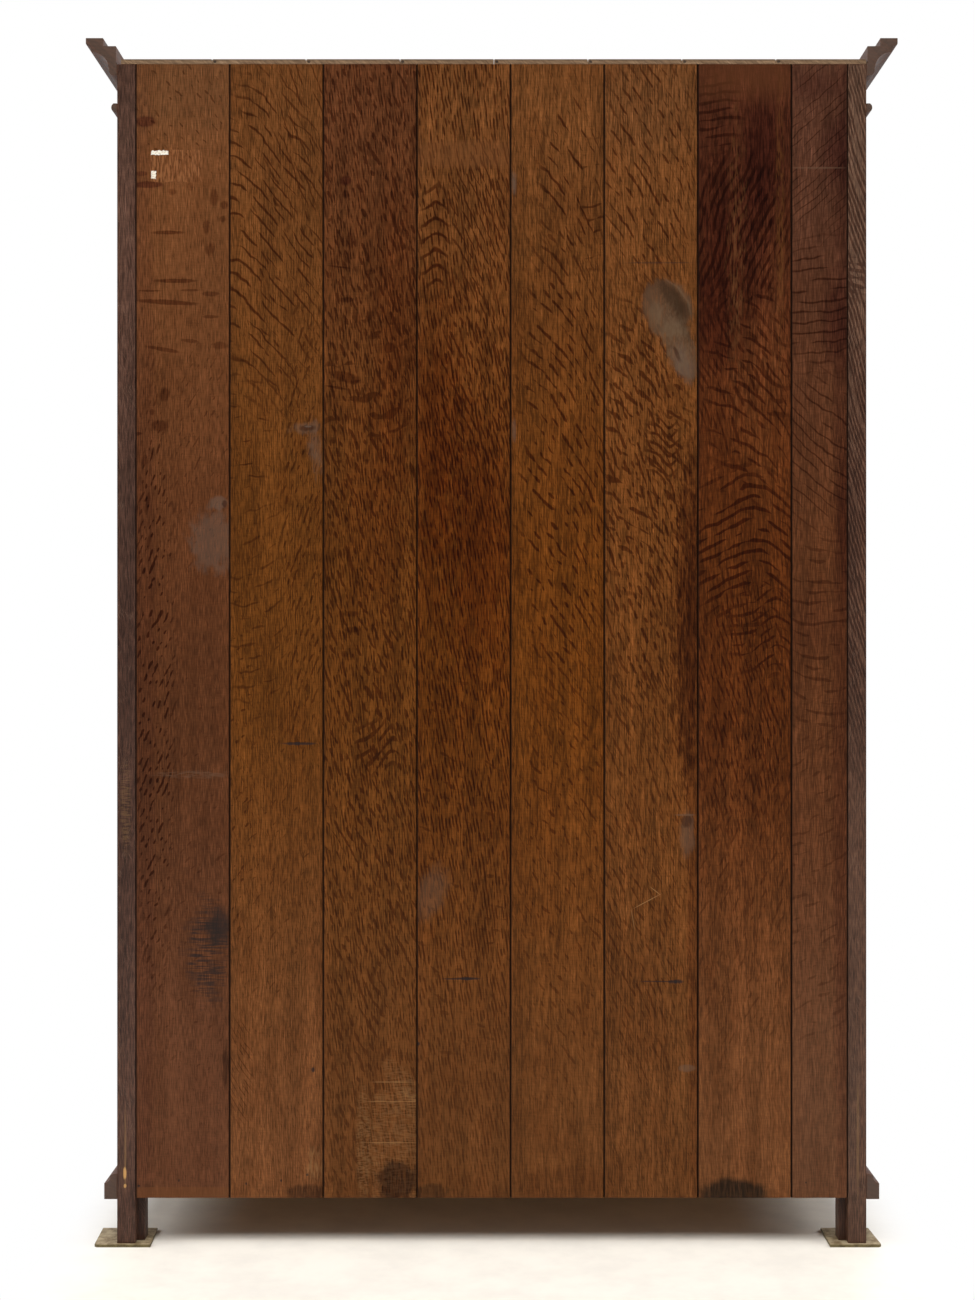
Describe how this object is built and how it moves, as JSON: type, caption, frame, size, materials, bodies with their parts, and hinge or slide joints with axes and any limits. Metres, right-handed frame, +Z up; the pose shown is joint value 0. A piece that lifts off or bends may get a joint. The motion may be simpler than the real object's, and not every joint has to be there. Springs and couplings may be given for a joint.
{
  "type": "wardrobe",
  "caption": "Free-standing oak wardrobe with two panelled doors, a boarded back, a moulded cornice and plinth, a hat shelf and a hanging rail.",
  "frame": {"origin": "bottom centre of the bounding box, on the floor under the middle of the wardrobe", "axes": "+Z up, the doors face -Y, the boarded back faces +Y, and +X is to the right of someone who faces the doors"},
  "size_m": [1.344, 0.598, 2],
  "materials": {
    "back_oak": "satin oiled oak, quarter-sawn, aged red-brown",
    "frame_oak": "dark satin stained oak",
    "front_oak": "waxed oak",
    "raw_oak": "unfinished oak",
    "hardboard": "worn hardboard",
    "brass": "aged brass",
    "iron": "dark iron"
  },
  "bodies": {
    "case": {"back_board_1": "back_oak", "back_board_2": "back_oak", "back_board_3": "back_oak", "back_board_4": "back_oak", "back_board_5": "back_oak", "back_board_6": "back_oak", "back_board_7": "back_oak", "back_board_8": "back_oak", "roof_boards": "raw_oak", "floor_boards": "raw_oak", "hat_shelf": "raw_oak", "hanging_rail": "raw_oak", "shelf_bearer_left": "raw_oak", "shelf_bearer_right": "raw_oak", "rear_top_rail": "raw_oak", "rear_bottom_rail": "raw_oak", "rear_post_left": "frame_oak", "rear_post_right": "frame_oak", "front_post_left": "front_oak", "front_post_right": "front_oak", "side_top_rail_left": "frame_oak", "side_top_rail_right": "frame_oak", "side_bottom_rail_left": "frame_oak", "side_bottom_rail_right": "frame_oak", "side_panel_left": "frame_oak", "side_panel_right": "frame_oak", "threshold_rail": "front_oak", "frieze_rail": "front_oak", "centre_muntin": "front_oak", "cornice_front": "front_oak", "cornice_left": "frame_oak", "cornice_right": "frame_oak", "necking_bead_front": "front_oak", "necking_bead_left": "frame_oak", "necking_bead_right": "frame_oak", "plinth_front": "front_oak", "plinth_left": "frame_oak", "plinth_right": "frame_oak", "foot_pad_rear_left": "hardboard", "foot_pad_rear_right": "hardboard", "foot_pad_front_left": "hardboard", "foot_pad_front_right": "hardboard", "hinge_fixed_leaf_upper_left": "brass", "hinge_fixed_leaf_lower_left": "brass", "hinge_fixed_leaf_upper_right": "brass", "hinge_fixed_leaf_lower_right": "brass"},
    "door_left": {"door_frame_left": "front_oak", "door_panel_left": "front_oak", "hinge_moving_leaf_upper_left": "brass", "hinge_moving_leaf_lower_left": "brass", "lock_case_left": "iron"},
    "door_right": {"door_frame_right": "front_oak", "door_panel_right": "front_oak", "hinge_moving_leaf_upper_right": "brass", "hinge_moving_leaf_lower_right": "brass", "lock_case_right": "iron"},
    "key_left": {"key_left": "iron"},
    "key_right": {"key_right": "iron"},
    "lock_bolt_left": {"lock_bolt_left": "iron"},
    "lock_bolt_right": {"lock_bolt_right": "iron"}
  },
  "joints": [
    {"name": "door_left_swing", "type": "hinge", "parent": "case", "child": "door_left", "pos_m": [-0.576, -0.253, 1], "axis": [0, 0, -1], "range_deg": [0, 110]},
    {"name": "door_right_swing", "type": "hinge", "parent": "case", "child": "door_right", "pos_m": [0.576, -0.253, 1], "axis": [0, 0, 1], "range_deg": [0, 110]},
    {"name": "key_left_turn", "type": "hinge", "parent": "door_left", "child": "key_left", "pos_m": [-0.057, -0.246, 1], "axis": [0, 1, 0], "range_deg": [0, 360]},
    {"name": "key_right_turn", "type": "hinge", "parent": "door_right", "child": "key_right", "pos_m": [0.057, -0.246, 1], "axis": [0, -1, 0], "range_deg": [0, 360]},
    {"name": "lock_bolt_left_slide", "type": "slide", "parent": "door_left", "child": "lock_bolt_left", "axis": [1, 0, 0], "range_m": [0, 0.012]},
    {"name": "lock_bolt_right_slide", "type": "slide", "parent": "door_right", "child": "lock_bolt_right", "axis": [-1, 0, 0], "range_m": [0, 0.012]}
  ],
  "couplings": [
    {"joint": "key_left_turn", "follows": "lock_bolt_left_slide", "rad_per_m": 523.5},
    {"joint": "key_right_turn", "follows": "lock_bolt_right_slide", "rad_per_m": 523.5}
  ]
}
